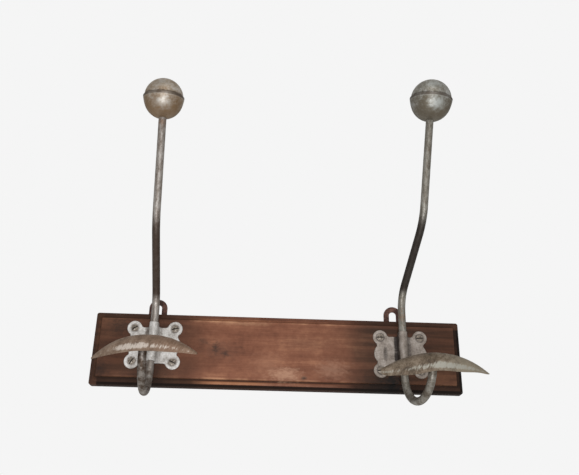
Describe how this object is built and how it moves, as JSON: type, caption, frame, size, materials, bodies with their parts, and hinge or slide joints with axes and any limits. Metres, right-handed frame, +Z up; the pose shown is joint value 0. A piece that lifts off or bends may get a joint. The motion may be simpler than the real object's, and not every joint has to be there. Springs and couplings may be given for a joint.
{
  "type": "wall hook rack",
  "caption": "Wall rack: a moulded wooden back board with turning steel hooks, each with a hat ball on top and a U bend and crescent coat rest below, and iron hanging loops.",
  "frame": {"origin": "centre of the board's flat back, on the wall", "axes": "+Z up, +X along the board to the viewer's right, the front faces -Y and +Y points into the wall"},
  "size_m": [0.4863, 0.1714, 0.4116],
  "materials": {
    "stained_wood": "dark stained and polished, worn",
    "plate_steel": "dull tinned",
    "hook_steel": "tinned, worn and browned",
    "ball_steel": "tinned, worn and browned",
    "screw_steel": "dull",
    "loop_iron": "brown rust"
  },
  "bodies": {
    "board": {"back_board": "stained_wood", "left_plate": "plate_steel", "left_plate_screws": "screw_steel", "left_hanging_loop": "loop_iron", "left_loop_screws": "screw_steel", "right_plate": "plate_steel", "right_plate_screws": "screw_steel", "right_hanging_loop": "loop_iron", "right_loop_screws": "screw_steel"},
    "left_hook": {"left_hook_rod": "hook_steel", "left_ball_upper": "ball_steel", "left_ball_lower": "ball_steel", "left_ball_nut": "screw_steel", "left_crescent": "hook_steel", "left_crescent_rivet": "screw_steel"},
    "right_hook": {"right_hook_rod": "hook_steel", "right_ball_upper": "ball_steel", "right_ball_lower": "ball_steel", "right_ball_nut": "screw_steel", "right_crescent": "hook_steel", "right_crescent_rivet": "screw_steel"}
  },
  "joints": [
    {"name": "left_swivel", "type": "hinge", "parent": "board", "child": "left_hook", "pos_m": [-0.162, -0.0253, 0.0034], "axis": [0, 0, 1], "range_deg": [-59, 55]},
    {"name": "right_swivel", "type": "hinge", "parent": "board", "child": "right_hook", "pos_m": [0.162, -0.0253, 0.0006], "axis": [0, 0, 1], "range_deg": [-62, 54]}
  ]
}
